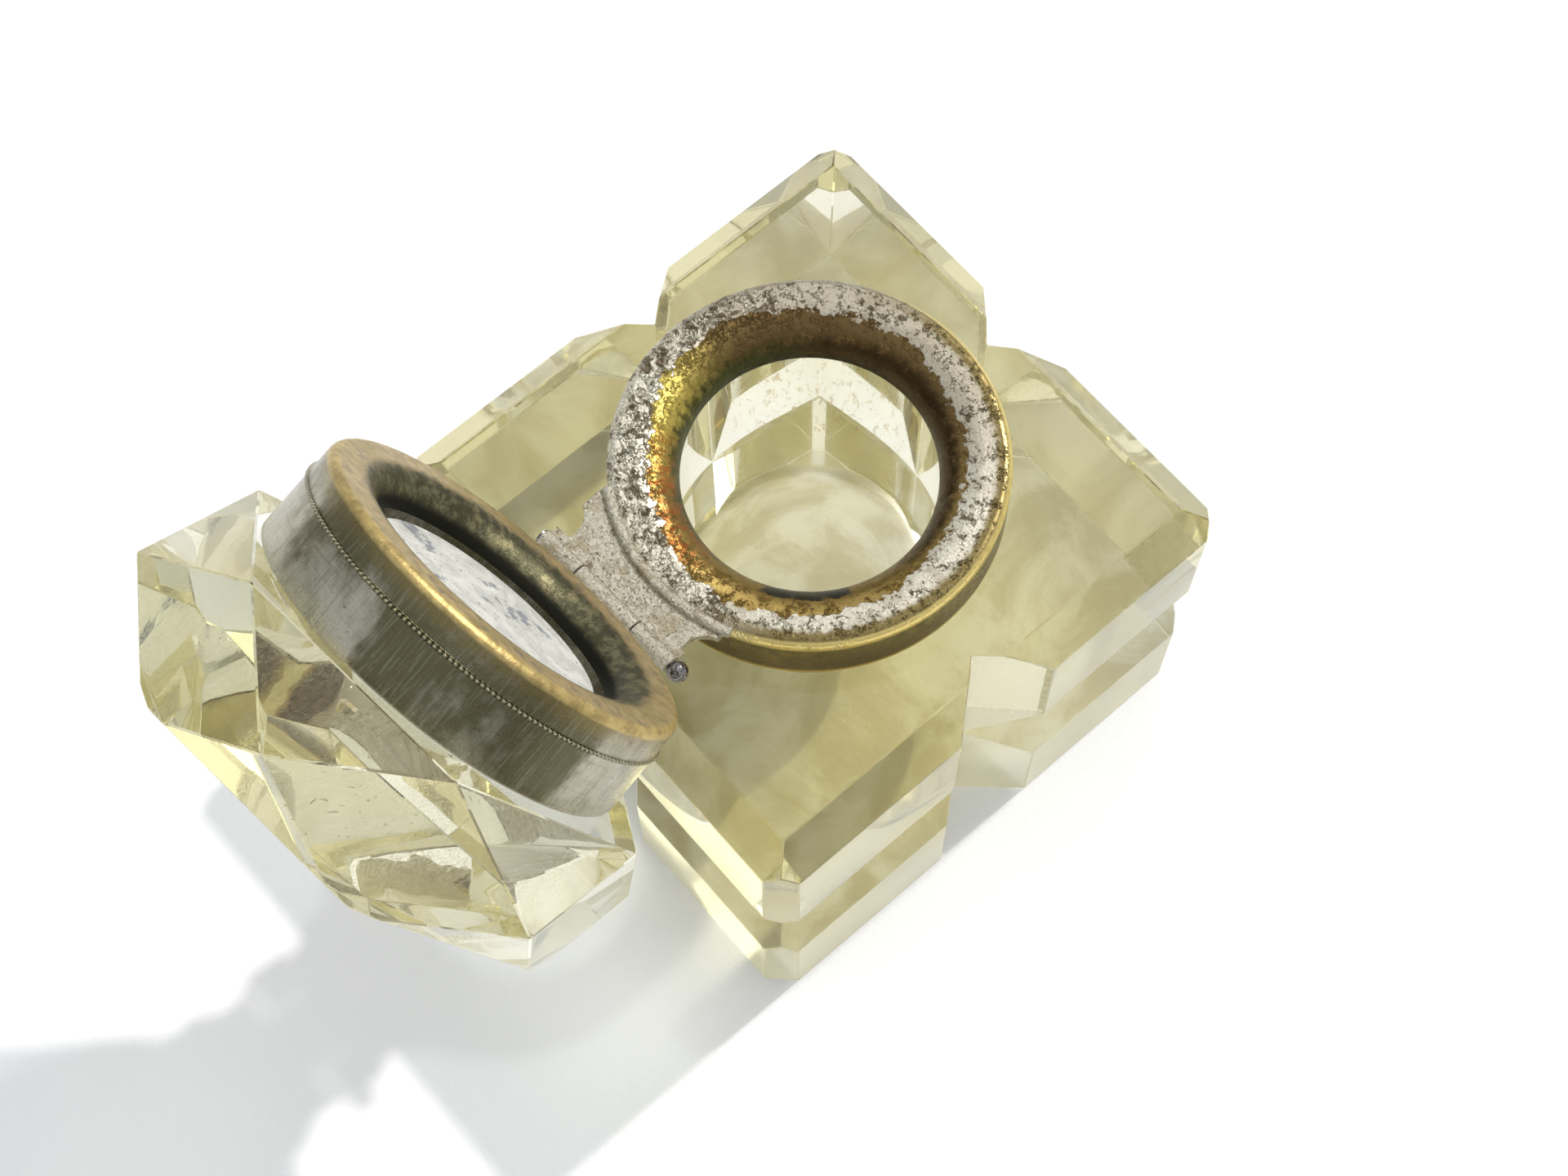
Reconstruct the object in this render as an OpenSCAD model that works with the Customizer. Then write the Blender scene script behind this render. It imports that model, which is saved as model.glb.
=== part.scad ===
// Cut-glass inkwell: a square glass block with a round ink well, a metal collar
// cemented on top of it, and a faceted hexagonal glass lid in a metal ring, hinged at the back.
// Millimetres, +Z up, origin at the centre of the block's underside, hinge at the back (+Y).
// The lid is drawn open, resting on the stop of its hinge.

/* [Glass block] */
// Width of the block between opposite side faces
body_w = 57; // [54:0.5:64]
// Height of the block up to its flat top
body_h = 40; // [36:0.5:50]
// Width of the sloping bevel round the top, seen from above
bevel_w = 3.4; // [2:0.1:4]
// How far that bevel drops
bevel_drop = 3.2; // [2:0.1:5]
// Height of the plain wall of the upper tier
upper_wall = 13; // [8:0.5:14]
// Height of the wall of the lower tier
lower_wall = 12; // [8:0.5:14]
// Depth of the V groove that runs round the block between the tiers
groove_deep = 5.4; // [3:0.1:7]
// Length that each vertical corner loses from both its faces
corner_cut = 2.4; // [1:0.1:3]
// Half the width of the upright V notch in the middle of each side
notch_half = 6; // [4:0.1:7]
// Depth of that notch
notch_deep = 5.4; // [3.6:0.1:6]

/* [Ink well] */
// Radius of the round well in the glass
well_r = 13.4; // [13.2:0.1:14]
// Thickness of glass left under the well
well_floor = 10; // [6:0.5:14]
// Radius of the curve between the well's wall and its floor
well_round = 6; // [2:0.5:8]

/* [Metal rings] */
// Outer radius of the collar on the block
collar_r = 19.1; // [18.9:0.1:20.5]
// Height of the collar above the glass top
collar_h = 6.6; // [6.4:0.1:8]
// Radius of the collar's opening
collar_hole_r = 12.35; // [11.5:0.05:12.5]
// Outer radius of the lid ring where it meets the lid glass
lid_ring_r = 18.6; // [18:0.1:18.8]
// Height of the lid ring
lid_ring_h = 9; // [8:0.5:12]
// Radius of the opening in the lid ring
lid_hole_r = 12.5; // [12:0.1:13]
// Thickness of the sheet metal
sheet = 0.8; // [0.7:0.05:0.9]

/* [Lid glass] */
// Half the width of the lid glass between opposite flat sides
lid_flat = 22.3; // [22:0.1:24]
// Height from the ring to the widest points of the lid glass
girdle_h = 7; // [6:0.5:9]
// Height from the ring to the lid's small flat table
lid_glass_h = 18; // [17:0.2:19]
// Slope of the six faces that rise to that table
crown_slope = 20; // [18:1:22]
// Turn of the lid glass in its ring
lid_turn = -6.5; // [-30:0.5:30]
// Sideways offset of the faceted glass from the middle of its ring
lid_offset_x = -0.85; // [-1:0.05:1]
// Offset of the faceted glass towards the hinge
lid_offset_y = -0.8; // [-1:0.05:0.5]

/* [Hinge] */
// Angle that the lid opens through, from closed to its stop
lid_open = 116; // [100:1:120]
// Distance of the hinge pin behind the middle of the collar
hinge_y = 23.9; // [23.6:0.1:24.5]
// Height of the hinge pin above the collar
hinge_rise = 1.4; // [1.3:0.1:2]
// Sideways offset of the hinge from the middle of the collar
hinge_shift = 0.75; // [-1:0.05:1]
// Slight turn of the hinge line, seen from above, which carries the lid with it
hinge_turn = 2.7; // [-3:0.1:3]
// Outer radius of the hinge knuckles
knuckle_r = 0.95; // [0.9:0.05:1.1]
// Length of the middle knuckle
middle_len = 7.4; // [6:0.1:8]
// Length of each outer knuckle
outer_len = 4.7; // [4:0.1:5.5]
// Radius of the hinge pin
pin_r = 0.5; // [0.4:0.05:0.55]
// Radius of the ball at the end of the pin
ball_r = 1; // [0.8:0.05:1.2]

/* [Hidden] */
$fn = 96;
big = 200;

half = body_w / 2;
bevel_z = body_h - bevel_drop;
groove_top = bevel_z - upper_wall;
groove_mid = (groove_top + lower_wall) / 2;

// Glass neck that the collar is cemented round
neck_r = 16;
neck_h = 3.6;

// Section of the collar: a flat crest, a rounded outer edge and a lip that curves down into the well
collar_top = body_h + collar_h;
lip_r = 4;
lip_centre_r = collar_hole_r + lip_r;
lip_end_z = collar_top - lip_r;
edge_r = 0.9;
collar_in_r = collar_r - sheet;

// Section of the lid ring, with heights measured from its rim
lid_lip_r = 3;
lid_lip_centre_r = lid_hole_r + lid_lip_r;
ring_taper = 0.25;
bead_h = 3.2;
bead_r = 0.2;
ring_in_r = lid_ring_r - ring_taper - sheet;
closed_gap = 0.25;
rim_z = collar_top + closed_gap;

// White cement that holds the lid glass in its ring
spigot_r = 15.5;
spigot_h = 2.5;
cement_face_h = 4.4;
cement_disc_h = 6;
cement_plug_r = 11.6;

// Lid glass: a hexagonal block with every upright edge cut to a point at half height
girdle_r = lid_flat / cos(30);
waist_r = lid_flat * cos(30);
crown_h = 2 * girdle_h;
edge_slope = atan((girdle_r - waist_r) / girdle_h);
crown_edge_r = 17;

// Hinge: leaves in sheet metal, three knuckles on one pin
pin_z = collar_top + hinge_rise;
leaf_t = 0.9;
leaf_top = collar_top - 0.1;
leaf_tip_half = 9.2;
leaf_neck_half = 7.5;
leaf_neck_r = 2.6;
slot_gap = 0.25;
knuckle_gap = 0.2;
bore_fixed_r = pin_r + 0.01;
bore_loose_r = pin_r + 0.05;
hinge_half = middle_len / 2 + knuckle_gap + outer_len;
shoulder_y = hinge_y - knuckle_r - slot_gap;
seam_half_angle = 29;
seam_r = 0.6;
lid_seam_r = 0.6;
lid_leaf_t = 0.8;
lid_leaf_z = pin_z + knuckle_r - lid_leaf_t;

// Stop: the tail of the middle knuckle meets the lower edge of the base leaf when the lid is open
tail_t = 0.8;
tail_gap = 0.15;
stop_dy = shoulder_y - hinge_y;
stop_dz = leaf_top - leaf_t - pin_z;
stop_dist = norm([stop_dy, stop_dz]);
tail_len = stop_dist + 0.6;
tail_open_angle = atan2(stop_dz, stop_dy) + asin((tail_t / 2 + tail_gap) / stop_dist);
tail_angle = tail_open_angle + lid_open;

glass_colour = [0.78, 0.80, 0.68, 0.45];
metal_colour = [0.66, 0.62, 0.52];
solder_colour = [0.74, 0.73, 0.69];
steel_colour = [0.32, 0.31, 0.30];
cement_colour = [0.86, 0.85, 0.81];

// Removes everything beyond a plane through radius r and height z, facing away by the given tilt
module cut_beyond(r, z, tilt) {
    translate([r, 0, z])
        rotate([0, tilt, 0])
            translate([0, -big / 2, -big / 2])
                cube([big, big, big]);
}

// Turns what is drawn square to the block by the small turn of the hinge line
module hinge_turned() {
    translate([0, hinge_y, 0])
        rotate([0, 0, hinge_turn])
            translate([0, -hinge_y, 0])
                children();
}

// Puts what is drawn closed into the open position that the lid rests in
module opened() {
    hinge_turned()
        translate([0, hinge_y, pin_z])
            rotate([-lid_open, 0, 0])
                translate([0, -hinge_y, -pin_z])
                    children();
}

// A round bar along the hinge line, between two places on it
module hinge_bar(from_x, to_x, r) {
    translate([from_x + hinge_shift, hinge_y, pin_z])
        rotate([0, 90, 0])
            cylinder(h = to_x - from_x, r = r, $fn = 48);
}

// ---- Glass block ----

module block_outline() {
    difference() {
        square(body_w, center = true);
        for (i = [0:3])
            rotate(90 * i) {
                translate([half, half])
                    rotate(45)
                        square([corner_cut * sqrt(2), 2 * body_w], center = true);
                polygon([[half - notch_deep, 0], [half + 1, notch_half * (1 + 1 / notch_deep)],
                         [half + 1, -notch_half * (1 + 1 / notch_deep)]]);
            }
    }
}

module groove_bar() {
    reach = 1;
    groove_half = (groove_top - lower_wall) / 2;
    rise = groove_half * (1 + reach / groove_deep);
    translate([0, body_w, 0])
        rotate([90, 0, 0])
            linear_extrude(2 * body_w)
                polygon([[half - groove_deep, groove_mid], [half + reach, groove_mid + rise],
                         [half + reach, groove_mid - rise]]);
}

module well_space() {
    rotate_extrude() {
        translate([0, well_floor + well_round])
            square([well_r, body_h]);
        translate([0, well_floor])
            square([well_r - well_round, well_round + 1]);
        intersection() {
            translate([well_r - well_round, well_floor + well_round])
                circle(well_round);
            translate([0, well_floor])
                square([well_r, well_round + 0.5]);
        }
    }
}

module glass_body() {
    color(glass_colour)
        difference() {
            union() {
                linear_extrude(body_h)
                    block_outline();
                cylinder(h = body_h + neck_h, r = neck_r);
            }
            for (i = [0:3])
                rotate([0, 0, 90 * i]) {
                    groove_bar();
                    cut_beyond(half, bevel_z, -atan(bevel_w / bevel_drop));
                }
            well_space();
        }
}

// ---- Collar on the block ----

// The hollow under the collar, in section: cement and the glass neck fill it
module collar_hollow() {
    translate([lip_centre_r, body_h - 1])
        square([collar_in_r - lip_centre_r, collar_h + 1 - sheet]);
    intersection() {
        translate([lip_centre_r, lip_end_z])
            circle(lip_r - sheet);
        translate([0, lip_end_z])
            square([lip_centre_r + 0.01, lip_r]);
    }
    translate([collar_hole_r + sheet, body_h - 1])
        square([lip_r - sheet, lip_end_z - body_h + 1]);
}

// The collar's outer shape, in section
module collar_shape() {
    translate([lip_centre_r, body_h])
        square([collar_r - lip_centre_r, collar_h - edge_r]);
    translate([lip_centre_r, body_h])
        square([collar_r - edge_r - lip_centre_r, collar_h]);
    translate([collar_r - edge_r, collar_top - edge_r])
        circle(edge_r);
    intersection() {
        translate([lip_centre_r, lip_end_z])
            circle(lip_r);
        translate([0, lip_end_z])
            square([lip_centre_r + 0.01, lip_r]);
    }
}

module base_collar() {
    color(metal_colour)
        rotate_extrude()
            difference() {
                collar_shape();
                collar_hollow();
            }
}

module collar_cement() {
    color(cement_colour)
        rotate_extrude()
            difference() {
                collar_hollow();
                square([neck_r, body_h + neck_h]);
                square([well_r, 2 * body_h]);
                square([2 * collar_r, body_h]);
            }
}

// ---- Lid ring, drawn closed ----

// The slightly tapered outer wall of the lid ring, in section, filled in to its middle
module ring_wall() {
    polygon([[0, edge_r], [lid_ring_r - ring_taper, edge_r], [lid_ring_r, lid_ring_h],
             [0, lid_ring_h]]);
}

module lid_ring_section() {
    difference() {
        union() {
            translate([lid_ring_r - ring_taper - edge_r, edge_r])
                circle(edge_r);
            translate([lid_lip_centre_r, 0])
                square([lid_ring_r - ring_taper - edge_r - lid_lip_centre_r, edge_r + 0.01]);
            difference() {
                ring_wall();
                square([lid_lip_centre_r, lid_ring_h]);
            }
            translate([lid_ring_r - ring_taper / 2, bead_h])
                circle(bead_r);
            intersection() {
                translate([lid_lip_centre_r, lid_lip_r])
                    circle(lid_lip_r);
                square([lid_lip_centre_r + 0.01, lid_lip_r]);
            }
        }
        translate([lid_lip_centre_r, sheet])
            square([ring_in_r - lid_lip_centre_r, lid_ring_h]);
        intersection() {
            translate([lid_lip_centre_r, lid_lip_r])
                circle(lid_lip_r - sheet);
            square([lid_lip_centre_r + 0.01, lid_lip_r + 1]);
        }
    }
}

module lid_ring() {
    color(metal_colour)
        opened()
            translate([0, 0, rim_z])
                rotate_extrude()
                    lid_ring_section();
}

module lid_cement() {
    color(cement_colour)
        opened()
            translate([0, 0, rim_z])
                difference() {
                    union() {
                        translate([0, 0, cement_face_h])
                            cylinder(h = cement_disc_h - cement_face_h + 1, r = cement_plug_r);
                        translate([0, 0, cement_disc_h])
                            cylinder(h = lid_ring_h - cement_disc_h, r = ring_in_r);
                    }
                    translate([0, 0, lid_ring_h - spigot_h])
                        cylinder(h = spigot_h + 1, r = spigot_r);
                }
}

module lid_glass() {
    color(glass_colour)
        opened()
            translate([0, 0, rim_z + lid_ring_h]) {
                translate([lid_offset_x, lid_offset_y, 0])
                    rotate([0, 0, lid_turn])
                        difference() {
                            rotate([0, 0, 30])
                                cylinder(h = lid_glass_h, r = girdle_r, $fn = 6);
                            for (i = [0:5])
                                rotate([0, 0, 30 + 60 * i]) {
                                    cut_beyond(girdle_r, girdle_h, edge_slope);
                                    cut_beyond(girdle_r, girdle_h, -edge_slope);
                                    cut_beyond(crown_edge_r, crown_h, crown_slope - 90);
                                }
                        }
                translate([0, 0, -spigot_h])
                    cylinder(h = spigot_h + 1, r = spigot_r);
            }
}

// ---- Hinge ----

// Plan of a hinge leaf: wide where it is soldered to a ring, with a hollow curve in each side
module leaf_plan() {
    neck_y = shoulder_y - 1.5;
    difference() {
        translate([-leaf_tip_half + hinge_shift, 0])
            square([2 * leaf_tip_half, shoulder_y]);
        for (side = [-1, 1])
            translate([side * (leaf_neck_half + leaf_neck_r) + hinge_shift, neck_y])
                circle(leaf_neck_r);
    }
}

// Sweeps a seam's section round the part of a ring that the hinge leaf is soldered to
module seam_sweep() {
    rotate([0, 0, 90 - seam_half_angle - asin(hinge_shift / collar_r)])
        rotate_extrude(angle = 2 * seam_half_angle)
            children();
}

module base_hinge_leaf() {
    color(metal_colour)
        difference() {
            hinge_turned()
                union() {
                    translate([0, 0, leaf_top - leaf_t])
                        linear_extrude(leaf_t)
                            leaf_plan();
                    for (side = [-1, 1])
                        translate([side * (hinge_half + middle_len / 2 + knuckle_gap) / 2, 0, 0]) {
                            hinge_bar(-outer_len / 2, outer_len / 2, knuckle_r);
                            translate([hinge_shift - outer_len / 2, shoulder_y - 0.5, leaf_top - leaf_t])
                                cube([outer_len, hinge_y - shoulder_y + 0.5, pin_z - leaf_top + leaf_t]);
                        }
                }
            cylinder(h = 2 * body_h, r = collar_r);
            hinge_turned()
                hinge_bar(-hinge_half - 1, hinge_half + 1, bore_fixed_r);
        }
}

module base_solder_seam() {
    color(solder_colour)
        seam_sweep()
            difference() {
                translate([collar_r, leaf_top])
                    circle(seam_r);
                translate([collar_r, leaf_top - leaf_t])
                    square(leaf_t);
                square([2 * collar_r, leaf_top - leaf_t]);
                collar_shape();
            }
}

module hinge_pin() {
    head_l = 0.3;
    head_r = 0.75;
    color(steel_colour)
        hinge_turned() {
            hinge_bar(-hinge_half - ball_r / 2, hinge_half + head_l, pin_r);
            hinge_bar(hinge_half + 0.02, hinge_half + head_l, head_r);
            translate([hinge_shift - hinge_half - 0.9 * ball_r, hinge_y, pin_z])
                sphere(ball_r);
        }
}

module lid_hinge_leaf() {
    color(metal_colour)
        opened()
            difference() {
                union() {
                    translate([0, 0, lid_leaf_z])
                        linear_extrude(lid_leaf_t)
                            leaf_plan();
                    translate([hinge_shift - middle_len / 2, shoulder_y - 0.5, lid_leaf_z])
                        cube([middle_len, hinge_y - shoulder_y + 0.5, lid_leaf_t]);
                    hinge_bar(-middle_len / 2, middle_len / 2, knuckle_r);
                    translate([hinge_shift, hinge_y, pin_z])
                        rotate([tail_angle, 0, 0])
                            translate([-middle_len / 2, 0, -tail_t / 2])
                                cube([middle_len, tail_len, tail_t]);
                }
                translate([0, 0, rim_z])
                    rotate_extrude()
                        ring_wall();
                hinge_bar(-hinge_half, hinge_half, bore_loose_r);
            }
}

module lid_solder_seam() {
    color(solder_colour)
        opened()
            seam_sweep()
                difference() {
                    translate([lid_ring_r - ring_taper, lid_leaf_z + lid_leaf_t])
                        circle(lid_seam_r);
                    square([2 * lid_ring_r, lid_leaf_z + lid_leaf_t]);
                    translate([0, rim_z])
                        ring_wall();
                }
}

glass_body();
base_collar();
collar_cement();
base_hinge_leaf();
base_solder_seam();
hinge_pin();
lid_ring();
lid_hinge_leaf();
lid_solder_seam();
lid_cement();
lid_glass();
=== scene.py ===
"""Looks for the hinged cut-glass inkwell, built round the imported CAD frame. Lengths in the tables are millimetres."""

import math

import bmesh
import bpy
from mathutils import Matrix, Vector


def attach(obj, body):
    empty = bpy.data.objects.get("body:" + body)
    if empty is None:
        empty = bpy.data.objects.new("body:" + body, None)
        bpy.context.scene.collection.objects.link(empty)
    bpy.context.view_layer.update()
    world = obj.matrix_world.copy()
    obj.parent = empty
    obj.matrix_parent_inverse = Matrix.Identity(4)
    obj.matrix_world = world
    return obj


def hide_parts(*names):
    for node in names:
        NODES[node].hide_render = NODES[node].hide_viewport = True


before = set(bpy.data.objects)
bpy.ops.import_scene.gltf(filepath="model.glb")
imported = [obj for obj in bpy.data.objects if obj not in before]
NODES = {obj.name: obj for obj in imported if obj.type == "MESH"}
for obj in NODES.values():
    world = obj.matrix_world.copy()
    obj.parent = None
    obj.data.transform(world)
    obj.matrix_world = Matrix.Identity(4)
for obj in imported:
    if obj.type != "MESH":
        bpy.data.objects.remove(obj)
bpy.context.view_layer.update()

MM = 0.001

# The block and its collar
BODY_TOP = 40.0
WELL_R = 13.4
COLLAR_TOP = 46.6
HOLE_R = 12.35

# The lid, whose ring has a line of beads near its rim
LID_RING_H = 9.0
BEAD_H = 3.2
BEADS = 224
PLUG_FACE = 3.3
PLUG_R = 11.8

# The hinge: its line, its turn seen from above and the angle the lid stands open
HINGE_Y = 23.9
HINGE_Z = 48.0
HINGE_TURN = 2.7
RIM_Z = 46.85
LID_OPEN = 116.0

# How glass and cement meet: width of the ground edges, seat held off the metal, cement let into the glass
GROUND_EDGE = 0.12
SEAT_GAP = 0.04
BOND = 0.12

# The lid's own frame: origin in the middle of its rim, +Z into the lid glass
LID = (
    Matrix.Translation((0, HINGE_Y * MM, 0))
    @ Matrix.Rotation(math.radians(HINGE_TURN), 4, "Z")
    @ Matrix.Translation((0, 0, HINGE_Z * MM))
    @ Matrix.Rotation(math.radians(-LID_OPEN), 4, "X")
    @ Matrix.Translation((0, -HINGE_Y * MM, (RIM_Z - HINGE_Z) * MM))
)
LID_INVERSE = LID.inverted()


# ---- Node materials ----


class Paint:
    """A node material under construction. Positions are object coordinates in millimetres."""

    def __init__(self, name, to_local=None):
        self.mat = bpy.data.materials.new(name)
        self.mat.use_nodes = True
        self.tree = self.mat.node_tree
        self.tree.nodes.clear()
        self.out = self.node("ShaderNodeOutputMaterial")
        self.shader = self.node("ShaderNodeBsdfPrincipled")
        self.link(self.shader.outputs[0], self.out.inputs["Surface"])
        place = self.node("ShaderNodeTexCoord").outputs["Object"]
        self.p = self.vec("SCALE", place, scale=1000.0)
        if to_local is not None:
            turn = to_local.to_euler()
            shift = [c * 1000.0 for c in to_local.to_translation()]
            mapping = self.node("ShaderNodeMapping")
            mapping.inputs["Location"].default_value = shift
            mapping.inputs["Rotation"].default_value = turn
            self.link(self.p, mapping.inputs["Vector"])
            self.p = mapping.outputs[0]
        self.x, self.y, self.z = self.split(self.p)
        flat = self.vec("MULTIPLY", self.p, (1, 1, 0))
        self.r = self.vec("LENGTH", flat)
        self.around = self.vec("NORMALIZE", flat)

    def node(self, kind):
        return self.tree.nodes.new(kind)

    def link(self, source, socket):
        self.tree.links.new(source, socket)

    def put(self, socket, value):
        if isinstance(value, bpy.types.NodeSocket):
            self.link(value, socket)
        elif value is not None:
            socket.default_value = value

    def split(self, vector):
        n = self.node("ShaderNodeSeparateXYZ")
        self.put(n.inputs[0], vector)
        return n.outputs[0], n.outputs[1], n.outputs[2]

    def join(self, x, y, z):
        n = self.node("ShaderNodeCombineXYZ")
        for socket, value in zip(n.inputs, (x, y, z)):
            self.put(socket, value)
        return n.outputs[0]

    def vec(self, operation, a, b=None, scale=None):
        n = self.node("ShaderNodeVectorMath")
        n.operation = operation
        self.put(n.inputs[0], a)
        self.put(n.inputs[1], b)
        if scale is not None:
            self.put(n.inputs["Scale"], scale)
        return n.outputs["Value" if operation in ("LENGTH", "DOT_PRODUCT", "DISTANCE") else "Vector"]

    def math(self, operation, a, b=None):
        n = self.node("ShaderNodeMath")
        n.operation = operation
        for socket, value in zip(n.inputs, (a, b)):
            self.put(socket, value)
        return n.outputs[0]

    def add(self, a, b):
        return self.math("ADD", a, b)

    def mul(self, a, b):
        return self.math("MULTIPLY", a, b)

    def fade(self, value, low, high, start=0.0, end=1.0):
        """start where value is below low, end where it is above high, smooth in between."""
        n = self.node("ShaderNodeMapRange")
        n.interpolation_type = "SMOOTHSTEP"
        sockets = ("Value", "From Min", "From Max", "To Min", "To Max")
        for name, number in zip(sockets, (value, low, high, start, end)):
            self.put(n.inputs[name], number)
        return n.outputs[0]

    def noise(self, scale, detail=4.0, rough=0.55, at=None, warp=0.0):
        n = self.node("ShaderNodeTexNoise")
        self.put(n.inputs["Vector"], at or self.p)
        n.inputs["Scale"].default_value = scale
        n.inputs["Detail"].default_value = detail
        n.inputs["Roughness"].default_value = rough
        n.inputs["Distortion"].default_value = warp
        return n.outputs[0]

    def cells(self, scale):
        n = self.node("ShaderNodeTexVoronoi")
        self.put(n.inputs["Vector"], self.p)
        n.inputs["Scale"].default_value = scale
        return n.outputs["Distance"]

    def stretched(self, sx, sy, sz):
        return self.vec("MULTIPLY", self.p, (sx, sy, sz))

    def hooped(self, across, along):
        """A place for noise that changes that fast across the radius and that fast along the circle."""
        x = self.vec("DOT_PRODUCT", self.around, (along, 0, 0))
        y = self.vec("DOT_PRODUCT", self.around, (0, along, 0))
        return self.join(self.mul(self.r, across), x, y)

    def toward(self, degrees):
        """Cosine of the angle round +Z between this place and that direction."""
        a = math.radians(degrees)
        return self.vec("DOT_PRODUCT", self.around, (math.cos(a), math.sin(a), 0))

    def mix(self, share, a, b):
        n = self.node("ShaderNodeMix")
        n.data_type = "RGBA"
        self.put(n.inputs[0], share)
        for socket, value in ((n.inputs[6], a), (n.inputs[7], b)):
            self.put(socket, (*value, 1) if isinstance(value, tuple) else value)
        return n.outputs[2]

    def shade(self, colour, amount):
        """The colour times a number."""
        n = self.node("ShaderNodeMix")
        n.data_type = "RGBA"
        n.blend_type = "MULTIPLY"
        n.inputs[0].default_value = 1.0
        self.put(n.inputs[6], (*colour, 1) if isinstance(colour, tuple) else colour)
        self.put(n.inputs[7], amount)
        return n.outputs[2]

    def bump(self, height, depth, under=None):
        """A normal for a height from 0 to 1 that stands for that depth in millimetres."""
        n = self.node("ShaderNodeBump")
        n.inputs["Strength"].default_value = 1.0
        n.inputs["Distance"].default_value = depth * MM
        self.put(n.inputs["Height"], height)
        self.put(n.inputs["Normal"], under)
        return n.outputs[0]

    def set(self, **values):
        for name, value in values.items():
            socket = self.shader.inputs[name.replace("_", " ")]
            self.put(socket, (*value, 1) if isinstance(value, tuple) and len(value) == 3 else value)
        return self.mat


def glass(name, colour, density, to_local=None, underside=False):
    """Clear old glass: tinted through its depth, with polishing waves, fine scratches and dust on its faces.

    With underside set, its sole is cloudy and frosted, and ink has dried on the wall of its well.
    """
    m = Paint(name, to_local)
    wave = m.noise(0.10, 2.0)
    grain = m.noise(6.0, 5.0, 0.65)
    scratch = m.math("ABSOLUTE", m.math("SUBTRACT", m.noise(1.6, 3.0, 0.5, m.stretched(3.2, 0.5, 0.9), 0.6), 0.5))
    scratch = m.fade(scratch, 0.0, 0.012, 1.0, 0.0)
    dust = m.mul(m.fade(grain, 0.62, 0.78), 0.06)
    rough = m.add(m.add(dust, m.mul(scratch, 0.05)), 0.006)
    normal = m.bump(wave, 0.03)
    normal = m.bump(m.mul(scratch, -0.5), 0.0015, normal)
    m.set(Base_Color=(1.0, 1.0, 1.0), Transmission_Weight=1.0, IOR=1.52, Roughness=rough, Normal=normal)
    if underside:
        sole = m.fade(m.z, 0.02, 0.10, 1.0, 0.0)
        cloud = m.fade(m.noise(0.11, 5.0, 0.62, warp=0.8), 0.38, 0.62)
        tone = m.mix(cloud, (0.97, 0.95, 0.88), (0.72, 0.66, 0.50))
        # dried ink that ran down the wall of the well
        bore = m.mul(m.fade(m.r, WELL_R + 0.1, WELL_R + 0.4, 1.0, 0.0), m.fade(m.z, 20.0, 26.0))
        runs = m.noise(1.0, 5.0, 0.7, m.stretched(1.5, 1.5, 0.55), 0.8)
        ink = m.mul(m.mul(bore, m.fade(m.toward(-50), 0.45, 0.90)), m.fade(runs, 0.53, 0.64))
        tone = m.mix(m.mul(ink, 0.80), m.mix(sole, (1.0, 1.0, 1.0), tone), (0.50, 0.36, 0.19))
        m.set(Base_Color=tone, Roughness=m.add(rough, m.add(m.mul(sole, 0.22), m.mul(ink, 0.25))))
    # light passes to the floor behind it as a plain grey shadow
    through = m.node("ShaderNodeBsdfTransparent")
    through.inputs[0].default_value = (0.42, 0.44, 0.47, 1)
    split = m.node("ShaderNodeMixShader")
    m.link(m.node("ShaderNodeLightPath").outputs["Is Shadow Ray"], split.inputs[0])
    m.link(m.shader.outputs[0], split.inputs[1])
    m.link(through.outputs[0], split.inputs[2])
    m.link(split.outputs[0], m.out.inputs["Surface"])
    tint = m.node("ShaderNodeVolumeAbsorption")
    tint.inputs["Color"].default_value = (*colour, 1)
    tint.inputs["Density"].default_value = density
    m.link(tint.outputs[0], m.out.inputs["Volume"])
    return m.mat


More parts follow.
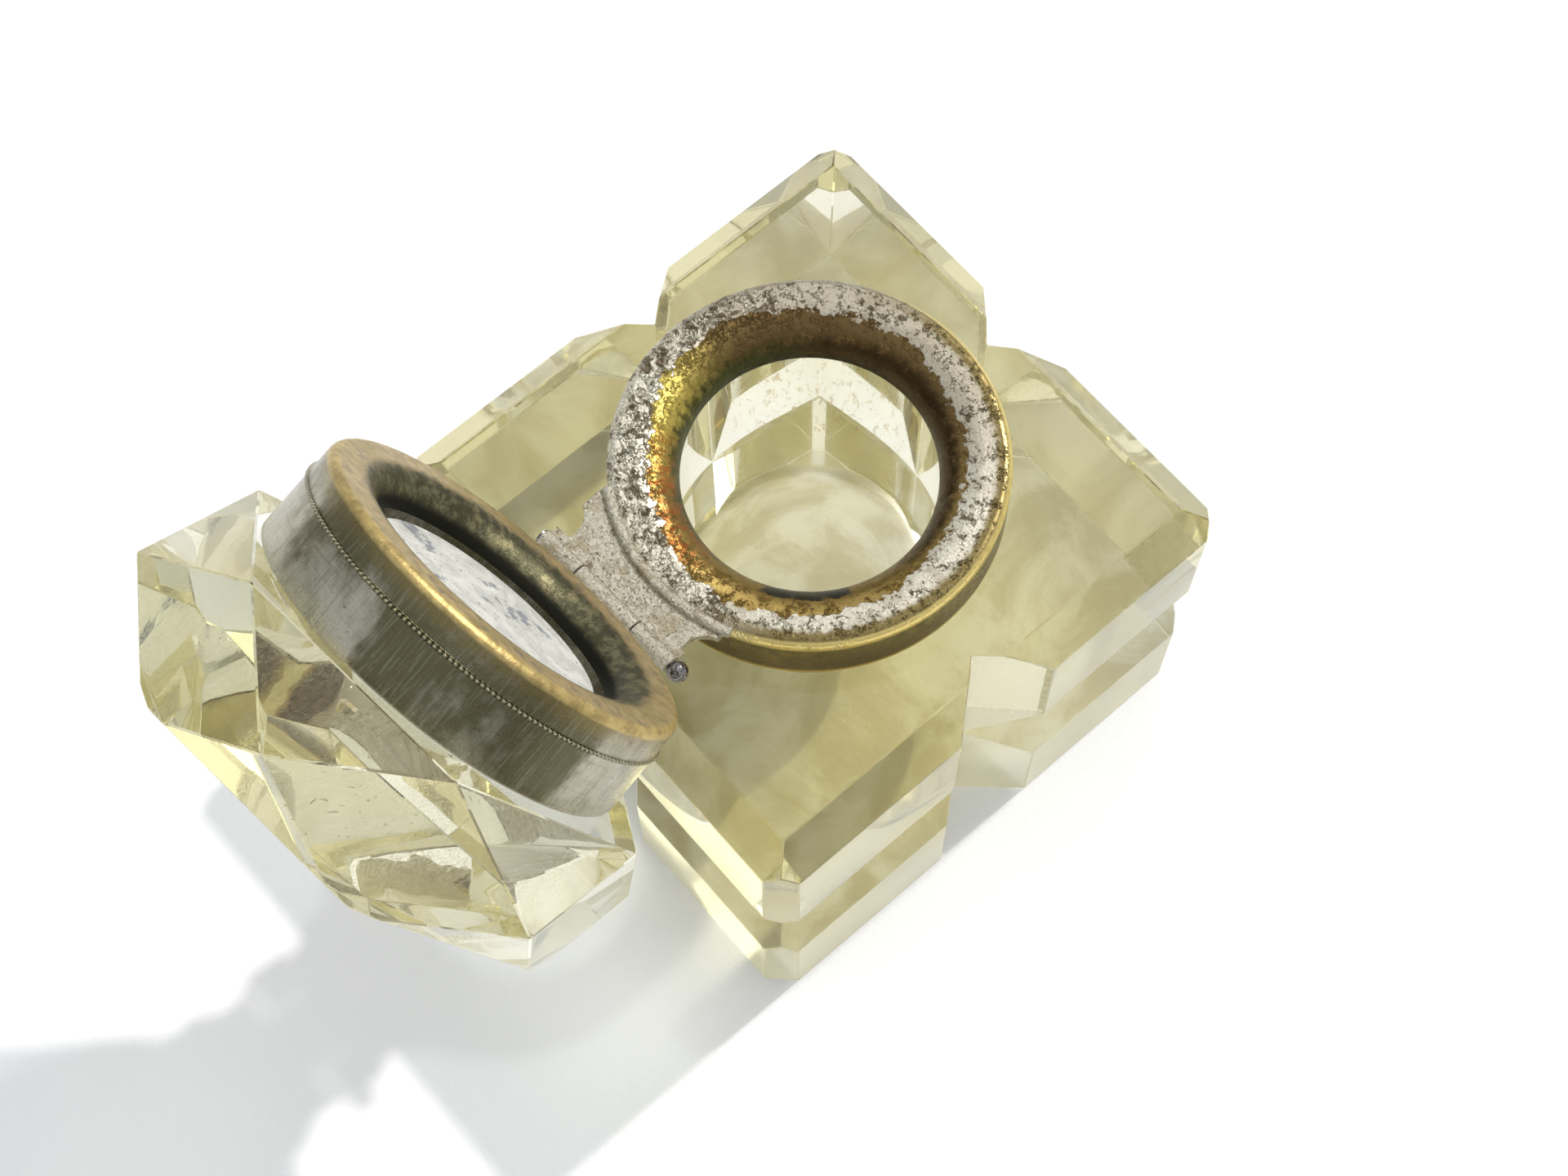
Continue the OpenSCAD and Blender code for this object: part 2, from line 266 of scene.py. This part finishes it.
def collar_metal():
    """Silver plate worn through to brass round the mouth, pitted on its outer part, with brown and green tarnish and
    painted shade down inside the mouth.
    """
    m = Paint("worn_silver_plate")
    large = m.noise(0.22, 5.0, 0.6, warp=0.4)
    ragged = m.noise(0.9, 6.0, 0.62)
    fine = m.noise(4.5, 4.0, 0.6)
    turned = m.noise(1.0, 4.0, 0.65, m.hooped(9.0, 5))
    streak = m.noise(1.0, 5.0, 0.7, m.hooped(0.9, 26))
    wobble = m.math("SUBTRACT", ragged, 0.5)
    west = m.fade(m.toward(40), -0.1, 0.75)
    east = m.fade(m.toward(225), -0.1, 0.8)

    # where the plate ends: nearer the mouth on the right and the left than at the hinge side and the front
    edge = m.add(15.5, m.fade(m.toward(116), 0.70, 0.95, 0.0, 0.75))
    edge = m.add(edge, m.fade(m.toward(4), 0.80, 0.97, 0.0, 0.5))
    edge = m.add(edge, m.fade(m.toward(229), 0.30, 0.95, 0.0, -0.75))
    edge = m.add(edge, m.fade(m.toward(49), 0.85, 0.98, 0.0, -0.35))
    edge = m.add(edge, m.mul(wobble, 3.0))
    edge = m.add(edge, m.mul(m.math("SUBTRACT", large, 0.5), 2.6))
    plated = m.fade(m.math("SUBTRACT", m.r, edge), -0.10, 0.10)
    worn_rim = m.mul(m.fade(m.add(m.r, m.mul(wobble, 1.8)), 17.2, 17.9), m.fade(m.toward(200), -0.30, 0.35))
    wall = m.mul(m.fade(m.z, COLLAR_TOP - 1.5, COLLAR_TOP - 0.9, 1.0, 0.0), m.fade(m.r, 18.2, 18.6))

    gold = m.mix(m.fade(ragged, 0.35, 0.65), (0.42, 0.305, 0.100), (0.23, 0.150, 0.045))
    gold = m.mix(m.mul(m.fade(m.toward(25), 0.72, 0.97), m.fade(streak, 0.30, 0.50)), gold, (0.62, 0.50, 0.125))
    red = m.mul(m.fade(m.toward(66), 0.82, 0.96), m.fade(streak, 0.44, 0.56))
    gold = m.mix(m.mul(red, 0.85), gold, (0.46, 0.150, 0.040))
    gold = m.mix(m.fade(m.toward(-58), 0.05, 0.70, 0.0, 0.88), gold, (0.125, 0.080, 0.036))
    gold = m.mix(m.fade(m.toward(240), 0.30, 0.90, 0.0, 0.55), gold, (0.20, 0.130, 0.052))
    near = m.add(m.r, m.add(m.mul(wobble, 1.8), m.mul(m.math("SUBTRACT", streak, 0.5), 1.6)))
    band = m.fade(m.math("SUBTRACT", near, m.mul(east, 0.9)), 12.5, 13.7, 1.0, 0.0)
    band = m.mul(band, m.fade(m.toward(139), 0.55, 0.95, 0.95, 0.45))
    dark = m.mix(west, (0.060, 0.040, 0.020), (0.045, 0.058, 0.018))
    gold = m.mix(band, gold, dark)
    # one black blot that hangs over the mouth's edge
    blot = m.fade(m.add(m.toward(137), m.mul(wobble, 0.05)), 0.950, 0.962)
    blot = m.mul(blot, m.fade(m.add(m.r, m.mul(ragged, 1.6)), 14.9, 15.2, 1.0, 0.0))
    gold = m.mix(m.mul(blot, 0.92), gold, (0.030, 0.038, 0.042))
    gold = m.mix(m.mul(m.fade(turned, 0.52, 0.70), 0.40), gold, (0.15, 0.095, 0.035))
    gold = m.mix(m.mul(m.fade(m.noise(2.8, 3.0, 0.7), 0.62, 0.70), 0.8), gold, (0.07, 0.045, 0.02))

    silver = m.mix(m.fade(fine, 0.35, 0.65), (0.56, 0.52, 0.42), (0.78, 0.74, 0.62))
    silver = m.mix(m.mul(m.fade(large, 0.50, 0.66), 0.5), silver, (0.32, 0.27, 0.175))
    silver = m.mix(m.fade(m.toward(-65), 0.0, 0.75, 0.0, 0.50), silver, (0.27, 0.225, 0.145))
    silver = m.mix(m.mul(m.fade(turned, 0.52, 0.70), 0.40), silver, (0.26, 0.23, 0.16))
    pits = m.cells(2.7)
    cover = m.add(m.noise(0.9, 5.0, 0.75), m.mul(west, 0.06))
    pit_mask = m.fade(cover, 0.54, 0.62)
    stain = m.mul(m.fade(m.add(m.noise(0.85, 7.0, 0.78), m.mul(west, 0.05)), 0.57, 0.63), 0.9)
    silver = m.mix(stain, silver, (0.115, 0.080, 0.042))
    pitted = m.mul(m.fade(pits, 0.14, 0.30, 1.0, 0.0), pit_mask)
    silver = m.mix(m.mul(pitted, 0.9), silver, (0.045, 0.036, 0.022))

    olive = m.mix(m.fade(ragged, 0.38, 0.62), (0.24, 0.185, 0.062), (0.13, 0.095, 0.034))
    bare = m.mix(m.fade(fine, 0.35, 0.65), (0.27, 0.215, 0.090), (0.15, 0.112, 0.045))
    bare = m.mix(m.fade(m.r, 18.50, 18.80), bare, (0.80, 0.64, 0.24))
    side = m.mix(m.fade(m.z, 41.0, 44.6), (0.13, 0.085, 0.032), olive)
    side = m.mix(m.fade(m.z, 40.15, 40.7, 1.0, 0.0), side, (0.60, 0.45, 0.13))

    colour = m.mix(plated, gold, silver)
    colour = m.mix(worn_rim, colour, bare)
    colour = m.mix(wall, colour, side)
    # painted shade: near-black down inside the mouth, below its lip
    under = m.fade(m.r, HOLE_R + 0.5, HOLE_R + 0.2, 0.0, 1.0)
    colour = m.mix(m.mul(under, m.fade(m.z, 42.7, 43.4, 1.0, 0.0)), colour, (0.04, 0.035, 0.02))

    plate_rough = m.add(m.mul(fine, 0.20), 0.20)
    brass_rough = m.add(m.mul(turned, 0.20), 0.24)
    rough = m.add(m.mul(plated, m.math("SUBTRACT", plate_rough, brass_rough)), brass_rough)
    height = m.add(m.mul(plated, 0.4), m.mul(m.fade(pits, 0.0, 0.34), m.mul(pit_mask, 0.9)))
    height = m.math("SUBTRACT", height, m.mul(stain, 0.5))
    normal = m.bump(height, 0.11)
    normal = m.bump(m.add(m.mul(fine, m.add(0.30, m.mul(west, 0.9))), m.mul(turned, 0.25)), 0.045, normal)
    return m.set(Base_Color=colour, Metallic=1.0, Roughness=rough, Normal=normal)


def lid_metal():
    """The lid ring: grey silvered wall with a line of beads and patches that are partly painted reflection, a thin
    brass edge that is partly a painted highlight, a tan rim, verdigris inside and painted shade deep in its hole.
    """
    m = Paint("worn_lid_plate", LID_INVERSE)
    large = m.noise(0.16, 4.0, 0.6, warp=0.5)
    ragged = m.noise(0.9, 6.0, 0.62)
    fine = m.noise(5.0, 4.0, 0.6)
    axial = m.noise(1.0, 4.0, 0.65, m.stretched(4.2, 4.2, 0.20))
    hoop = m.noise(1.0, 3.0, 0.6, m.join(m.mul(m.z, 9.0), m.mul(m.x, 0.10), m.mul(m.y, 0.10)))
    # the wall's patches: dark olive tarnish, made darker as a painted reflection of dark surroundings, with silver
    # between
    patch = m.add(m.mul(m.noise(0.085, 4.0, 0.62, m.stretched(1.0, 1.0, 0.5), 0.6), 0.8), m.mul(ragged, 0.2))

    # lighter silver at both ends of the wall and in a fan across the middle of its front: partly silver rubbed clean,
    # partly a painted reflection, the fan a painted highlight
    rubbed_and_painted_reflection = m.math("MAXIMUM", m.fade(m.toward(-35), 0.90, 0.99, 0.0, 0.6), m.fade(m.toward(-174), 0.90, 0.98))
    rubbed_and_painted_reflection = m.math("MAXIMUM", rubbed_and_painted_reflection, m.mul(m.fade(m.toward(-78), 0.950, 0.990), m.fade(m.z, 1.5, 5.0)))
    patch = m.add(patch, m.mul(m.math("SUBTRACT", rubbed_and_painted_reflection, 0.35), 0.16))
    wall = m.mix(m.fade(patch, 0.39, 0.60), (0.125, 0.115, 0.065), (0.47, 0.445, 0.355))
    wall = m.mix(m.mul(m.fade(axial, 0.50, 0.68), 0.28), wall, (0.44, 0.42, 0.33))
    wall = m.mix(m.mul(m.fade(axial, 0.36, 0.46, 1.0, 0.0), 0.30), wall, (0.12, 0.11, 0.07))
    wall = m.mix(m.mul(m.fade(hoop, 0.56, 0.70), 0.35), wall, (0.12, 0.105, 0.065))
    wall = m.mix(m.mul(m.fade(m.add(m.z, m.mul(ragged, 1.6)), 1.3, 3.6, 1.0, 0.0), 0.55), wall, (0.26, 0.20, 0.075))
    wall = m.mix(m.mul(m.fade(m.noise(2.6, 5.0, 0.7), 0.60, 0.68), 0.7), wall, (0.09, 0.065, 0.035))
    wall = m.mix(m.fade(m.z, 8.80, 8.98), wall, (0.40, 0.38, 0.33))
    turn = m.math("ARCTAN2", m.y, m.x)
    beads = m.math("ABSOLUTE", m.math("SINE", m.mul(turn, BEADS / 2.0)))
    line = m.fade(m.math("ABSOLUTE", m.math("SUBTRACT", m.z, BEAD_H)), 0.10, 0.24, 1.0, 0.0)
    wall = m.mix(m.mul(line, m.fade(beads, 0.45, 0.95)), wall, (0.40, 0.36, 0.23))
    wall = m.mix(m.mul(line, m.fade(beads, 0.10, 0.45, 1.0, 0.0)), wall, (0.07, 0.060, 0.032))

    edge = m.mix(m.fade(ragged, 0.35, 0.65), (0.56, 0.43, 0.18), (0.36, 0.27, 0.11))
    face = m.mix(m.fade(ragged, 0.38, 0.62), (0.52, 0.405, 0.210), (0.38, 0.285, 0.150))
    face = m.mix(m.mul(m.fade(large, 0.5, 0.62), 0.5), face, (0.36, 0.29, 0.11))
    face = m.mix(m.mul(m.fade(m.noise(0.5, 5.0, 0.7), 0.54, 0.64), 0.6), face, (0.17, 0.16, 0.13))
    green = m.mix(m.fade(m.noise(0.7, 7.0, 0.75), 0.44, 0.62), (0.035, 0.040, 0.026), (0.16, 0.150, 0.085))
    inner = m.fade(m.add(m.r, m.mul(m.math("SUBTRACT", ragged, 0.5), 2.8)), 14.4, 15.5, 1.0, 0.0)
    face = m.mix(m.mul(inner, 0.92), face, green)
    # painted shade: the wall of the hole goes near-black from 1.4 mm in, standing for the shadowed gap round the cement
    face = m.mix(m.mul(m.fade(m.z, 1.4, 2.2), m.fade(m.r, 14.0, 14.4, 1.0, 0.0)), face, (0.022, 0.022, 0.016))
    top = m.fade(m.z, 0.35, 0.9, 1.0, 0.0)
    # the thin brass edge on the rim's rounding: brass, and partly a painted highlight where the rounding catches the
    # light
    brim = m.mul(m.fade(m.r, 17.35, 17.75), m.fade(m.z, 0.60, 0.95, 1.0, 0.0))
    inside = m.fade(m.r, 15.8, 16.2, 1.0, 0.0)
    colour = m.mix(m.math("MAXIMUM", top, inside), wall, face)
    colour = m.mix(brim, colour, edge)

    rough = m.add(m.mul(fine, 0.16), m.add(0.20, m.mul(m.math("MAXIMUM", top, inside), 0.16)))
    normal = m.bump(m.add(m.mul(axial, 0.6), m.mul(hoop, 0.6)), 0.03)
    normal = m.bump(m.mul(line, beads), 0.16, normal)
    normal = m.bump(m.add(fine, m.mul(m.math("MAXIMUM", top, inside), m.mul(ragged, 2.0))), 0.03, normal)
    return m.set(Base_Color=colour, Metallic=1.0, Roughness=rough, Normal=normal)


def bright_metal(name, to_local=None, lumps=0.0):
    """Rough, pitted silver over brass, as on the hinge and its solder."""
    m = Paint(name, to_local)
    broad = m.noise(0.7, 4.0, 0.6)
    fine = m.noise(3.6, 6.0, 0.75)
    pits = m.cells(3.0)
    pitted = m.mul(m.fade(pits, 0.10, 0.26, 1.0, 0.0), m.fade(m.noise(1.9, 4.0, 0.65), 0.47, 0.56))
    colour = m.mix(m.fade(fine, 0.35, 0.65), (0.42, 0.39, 0.31), (0.74, 0.71, 0.60))
    colour = m.mix(m.mul(m.fade(broad, 0.50, 0.64), 0.55), colour, (0.34, 0.27, 0.145))
    colour = m.mix(m.mul(pitted, 0.9), colour, (0.06, 0.046, 0.026))
    colour = m.mix(m.mul(m.fade(m.noise(1.3, 5.0, 0.75), 0.60, 0.67), 0.85), colour, (0.14, 0.095, 0.05))
    normal = m.bump(m.noise(0.55, 2.0, 0.5), lumps)
    normal = m.bump(m.add(m.mul(fine, 1.0), m.mul(m.fade(pits, 0.0, 0.3), 0.6)), 0.16, normal)
    return m.set(Base_Color=colour, Metallic=1.0, Roughness=m.add(0.18, m.mul(fine, 0.22)), Normal=normal)


def dark_steel():
    """The hinge pin: dark, hammered steel with a little rust."""
    m = Paint("dark_steel")
    fine = m.noise(5.0, 4.0, 0.7)
    colour = m.mix(m.fade(fine, 0.40, 0.62), (0.10, 0.095, 0.09), (0.34, 0.33, 0.34))
    colour = m.mix(m.mul(m.fade(m.noise(1.6, 4.0, 0.6), 0.55, 0.66), 0.7), colour, (0.22, 0.11, 0.05))
    normal = m.bump(m.cells(2.2), 0.12)
    return m.set(Base_Color=colour, Metallic=1.0, Roughness=m.add(0.16, m.mul(fine, 0.2)), Normal=normal)


def plaster(name, front=0.0):
    """Old white cement with blue-grey stains near its rim and dark specks, greyer below the front height and with a
    painted glow above it when a front height is given.
    """
    m = Paint(name)
    broad = m.noise(0.35, 4.0, 0.6, warp=0.5)
    streak = m.noise(0.55, 5.0, 0.65, warp=1.2)
    speck = m.fade(m.noise(2.6, 3.0, 0.6), 0.66, 0.72)
    colour = m.mix(m.fade(broad, 0.4, 0.62), (0.93, 0.93, 0.90), (0.86, 0.86, 0.82))
    # its open side
    grey = m.mix(m.fade(broad, 0.35, 0.62), (0.60, 0.60, 0.56), (0.46, 0.46, 0.43))
    grey = m.mix(m.mul(m.fade(m.noise(0.22, 7.0, 0.72), 0.57, 0.63), 0.85), grey, (0.17, 0.18, 0.21))
    exposed = m.fade(m.z, front, front + 0.2, 1.0, 0.0)
    colour = m.mix(exposed, colour, grey)
    ring = m.mul(m.fade(m.add(m.r, m.mul(streak, 1.5)), 14.0, 14.5), m.fade(m.r, 15.0, 15.5, 1.0, 0.0))
    colour = m.mix(m.mul(m.fade(streak, 0.40, 0.54), m.mul(ring, 0.9)), colour, (0.16, 0.19, 0.27))
    colour = m.mix(m.mul(speck, 0.9), colour, (0.05, 0.05, 0.045))
    normal = m.bump(m.add(m.noise(1.3, 6.0, 0.6), m.mul(speck, -0.6)), 0.25)
    m.set(Base_Color=colour, Roughness=0.75, Normal=normal)
    if front > 0:
        # a painted glow: emission on the cement behind the glass, standing in for the light that a cut glass gathers
        # onto it
        m.set(Emission_Color=m.shade(colour, m.math("SUBTRACT", 1.0, exposed)), Emission_Strength=0.32)
    return m.mat


def floor_paint():
    """A plain, pale, matt sheet."""
    m = Paint("pale_floor")
    soft = m.noise(0.02, 3.0, 0.5)
    colour = m.mix(m.fade(soft, 0.3, 0.7), (0.84, 0.85, 0.86), (0.88, 0.885, 0.89))
    return m.set(Base_Color=colour, Roughness=0.85, Specular_IOR_Level=0.1, Normal=m.bump(m.noise(1.2, 3.0), 0.05))


# ---- Meshes ----


def add_object(name, bm, material, body=None, replaces=(), matrix=None):
    mesh = bpy.data.meshes.new(name)
    bm.normal_update()
    bm.to_mesh(mesh)
    bm.free()
    obj = bpy.data.objects.new(name, mesh)
    bpy.context.scene.collection.objects.link(obj)
    mesh.materials.append(material)
    if matrix is not None:
        obj.matrix_world = matrix
    if body:
        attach(obj, body)
    if replaces:
        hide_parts(*replaces)
    return obj


def cad_copy(node):
    """The CAD node's surface with its flat faces whole, to work on."""
    bm = bmesh.new()
    bm.from_mesh(NODES[node].data)
    bmesh.ops.remove_doubles(bm, verts=bm.verts, dist=2e-6)
    bmesh.ops.dissolve_limit(bm, angle_limit=math.radians(0.4), verts=bm.verts, edges=bm.edges)
    return bm


def sharp_edges(bm, keep):
    return [
        e for e in bm.edges
        if len(e.link_faces) == 2 and e.calc_face_angle() > math.radians(12) and all(keep(v.co) for v in e.verts)
    ]


def shade_by_angle(bm, limit):
    """Smooth over curved faces, sharp over facets."""
    for f in bm.faces:
        f.smooth = True
    for e in bm.edges:
        e.smooth = len(e.link_faces) == 2 and e.calc_face_angle() < math.radians(limit)


def faceted_glass(name, node, body, material, keep, frame_of, seat, gap):
    """A CAD glass with its cut edges ground to a narrow flat.

    Its seat, a height in the frame frame_of, is moved by gap to stand just off the metal that it meets.
    """
    bm = cad_copy(node)
    inward = frame_of.to_3x3() @ Vector((0, 0, gap * MM))
    to_local = frame_of.inverted()
    for v in bm.verts:
        if abs((to_local @ v.co).z - seat * MM) < 5e-6:
            v.co += inward
    bmesh.ops.bevel(
        bm, geom=sharp_edges(bm, keep), offset=GROUND_EDGE * MM, offset_type="OFFSET", segments=1, profile=0.5,
        affect="EDGES", clamp_overlap=True,
    )
    bmesh.ops.triangulate(bm, faces=[f for f in bm.faces if len(f.verts) > 4])
    shade_by_angle(bm, 12)
    return add_object(name, bm, material, body, (node,))


def turned_solid(name, outline, material, body, node, matrix=None, segments=128):
    """A solid of revolution about Z from a closed outline of (radius, height), whose ends may be on the axis."""
    bm = bmesh.new()
    turn = [2 * math.pi * k / segments for k in range(segments)]
    rings = []
    for radius, height in outline:
        if radius < 1e-6:
            ring = [(0, 0, height * MM)]
        else:
            ring = [(radius * MM * math.cos(a), radius * MM * math.sin(a), height * MM) for a in turn]
        rings.append([bm.verts.new(place) for place in ring])
    pairs = list(zip(rings, rings[1:]))
    if len(rings[0]) > 1:
        pairs.append((rings[-1], rings[0]))
    for one, two in pairs:
        for k in range(segments):
            after = k + 1
            corners = [one[k % len(one)], one[after % len(one)], two[after % len(two)], two[k % len(two)]]
            bm.faces.new(list(dict.fromkeys(corners)))
    bmesh.ops.recalc_face_normals(bm, faces=bm.faces)
    shade_by_angle(bm, 30)
    return add_object(name, bm, material, body, (node,), matrix)


# ---- The pieces ----


GLASS_TINT = (0.75, 0.69, 0.22)
COLLAR_ZONE = 20.5
faceted_glass(
    "glass_block", "glass_body", "base", glass("block_glass", GLASS_TINT, 17.0, underside=True),
    lambda co: co.xy.length > COLLAR_ZONE * MM, Matrix(), BODY_TOP, -SEAT_GAP,
)
faceted_glass(
    "lid_block", "lid_glass", "lid", glass("lid_cut_glass", GLASS_TINT, 10.0, LID_INVERSE),
    lambda co: True, LID, LID_RING_H, SEAT_GAP,
)
turned_solid(
    "lid_cement_fill",
    [(0, PLUG_FACE), (PLUG_R - 0.3, PLUG_FACE), (PLUG_R, PLUG_FACE + 0.3), (PLUG_R, 6.0), (17.5, 6.0), (17.5, 8.98),
     (17.3, LID_RING_H + BOND), (15.5 - BOND, LID_RING_H + BOND), (15.5 - BOND, 6.5 + BOND), (0, 6.5 + BOND)],
    plaster("lid_plaster", front=5.0), "lid", "lid_cement", LID,
)
turned_solid(
    "collar_cement_fill",
    [(16.0 - BOND, BODY_TOP - BOND), (18.2, BODY_TOP - BOND), (18.2, 45.7), (15.6, 45.7), (14.0, 44.6),
     (13.5, 43.6 - BOND), (16.0 - BOND, 43.6 - BOND)],
    plaster("collar_plaster"), "base", "collar_cement",
)

PAINTS = {
    "base_collar": collar_metal(),
    "lid_ring": lid_metal(),
    "base_hinge_leaf": bright_metal("hinge_silver"),
    "base_solder_seam": bright_metal("solder_silver", lumps=0.5),
    "lid_hinge_leaf": bright_metal("lid_hinge_silver", LID_INVERSE),
    "lid_solder_seam": bright_metal("lid_solder_silver", LID_INVERSE, 0.4),
    "hinge_pin": dark_steel(),
}
for node, paint in PAINTS.items():
    mesh = NODES[node].data
    mesh.materials.clear()
    mesh.materials.append(paint)


# ---- Floor, light and camera ----


def plane(name, size, z):
    """A level square, size metres from its middle to its sides."""
    bm = bmesh.new()
    bmesh.ops.create_grid(bm, x_segments=1, y_segments=1, size=size)
    bmesh.ops.translate(bm, vec=(0, 0, z), verts=bm.verts)
    return add_object(name, bm, floor_paint())


plane("floor", 6.0, -0.00003)

scene = bpy.context.scene
sun_from = Vector((0.0, -0.68, 0.735)).normalized()
sun = bpy.data.objects.new("key_light", bpy.data.lights.new("key_light", "SUN"))
sun.data.energy = 2.3
sun.data.angle = math.radians(2.0)
sun.data.color = (1.0, 0.975, 0.94)
sun.rotation_mode = "QUATERNION"
sun.rotation_quaternion = sun_from.to_track_quat("Z", "Y")
scene.collection.objects.link(sun)


def colour_ramp(tree, source, stops):
    """A ramp through two or more (position, colour) stops."""
    n = tree.nodes.new("ShaderNodeValToRGB")
    line = n.color_ramp.elements
    for end, (position, colour) in zip((line[0], line[1]), (stops[0], stops[-1])):
        end.position = position
        end.color = (*colour, 1)
    for position, colour in stops[1:-1]:
        line.new(position).color = (*colour, 1)
    tree.links.new(source, n.inputs[0])
    return n.outputs[0]


def build_world():
    """Soft daylight: pale all round, brighter overhead and towards the key light, olive and darker low down."""
    world = bpy.data.worlds.new("soft_light")
    scene.world = world
    world.use_nodes = True
    tree = world.node_tree
    tree.nodes.clear()
    out = tree.nodes.new("ShaderNodeOutputWorld")
    sky = tree.nodes.new("ShaderNodeBackground")
    coord = tree.nodes.new("ShaderNodeTexCoord")
    dot = tree.nodes.new("ShaderNodeVectorMath")
    dot.operation = "DOT_PRODUCT"
    dot.inputs[1].default_value = sun_from
    half = tree.nodes.new("ShaderNodeMath")
    half.operation = "MULTIPLY_ADD"
    half.inputs[1].default_value = 0.5
    half.inputs[2].default_value = 0.5
    height = tree.nodes.new("ShaderNodeSeparateXYZ")
    blend = tree.nodes.new("ShaderNodeMix")
    blend.data_type = "RGBA"
    blend.blend_type = "MULTIPLY"
    blend.inputs[0].default_value = 1.0
    tree.links.new(coord.outputs["Generated"], dot.inputs[0])
    tree.links.new(coord.outputs["Generated"], height.inputs[0])
    tree.links.new(dot.outputs["Value"], half.inputs[0])
    white = (1.0, 1.0, 1.0)
    towards_sun = [(0.0, (0.56, 0.58, 0.60)), (0.5, (0.66, 0.69, 0.73)), (1.0, white)]
    upwards = [(0.10, (0.30, 0.27, 0.18)), (0.42, white)]
    sunward = colour_ramp(tree, half.outputs[0], towards_sun)
    low = colour_ramp(tree, height.outputs[2], upwards)
    tree.links.new(sunward, blend.inputs[6])
    tree.links.new(low, blend.inputs[7])
    tree.links.new(blend.outputs[2], sky.inputs["Color"])
    tree.links.new(sky.outputs[0], out.inputs["Surface"])


build_world()

CAMERA_AT = (-0.07868, 0.07091, 0.27519)
azimuth, elevation, roll = math.radians(229.318), math.radians(67.947), math.radians(-0.284)
flat = math.cos(elevation)
back = Vector((math.sin(azimuth) * flat, -math.cos(azimuth) * flat, math.sin(elevation)))
level = Vector((math.cos(azimuth), math.sin(azimuth), 0))
over = back.cross(level)
right = level * math.cos(roll) + over * math.sin(roll)
up = over * math.cos(roll) - level * math.sin(roll)
camera = bpy.data.objects.new("camera", bpy.data.cameras.new("camera"))
camera.data.lens = 61.685
camera.data.sensor_width = 36.0
camera.data.clip_start, camera.data.clip_end = 0.01, 20.0
camera.matrix_world = Matrix.Translation(CAMERA_AT) @ Matrix((right, up, back)).transposed().to_4x4()
scene.collection.objects.link(camera)
scene.camera = camera

scene.view_settings.view_transform = "Standard"
scene.cycles.max_bounces = 28
scene.cycles.transmission_bounces = 24
scene.cycles.glossy_bounces = 24
scene.cycles.sample_clamp_indirect = 4.0
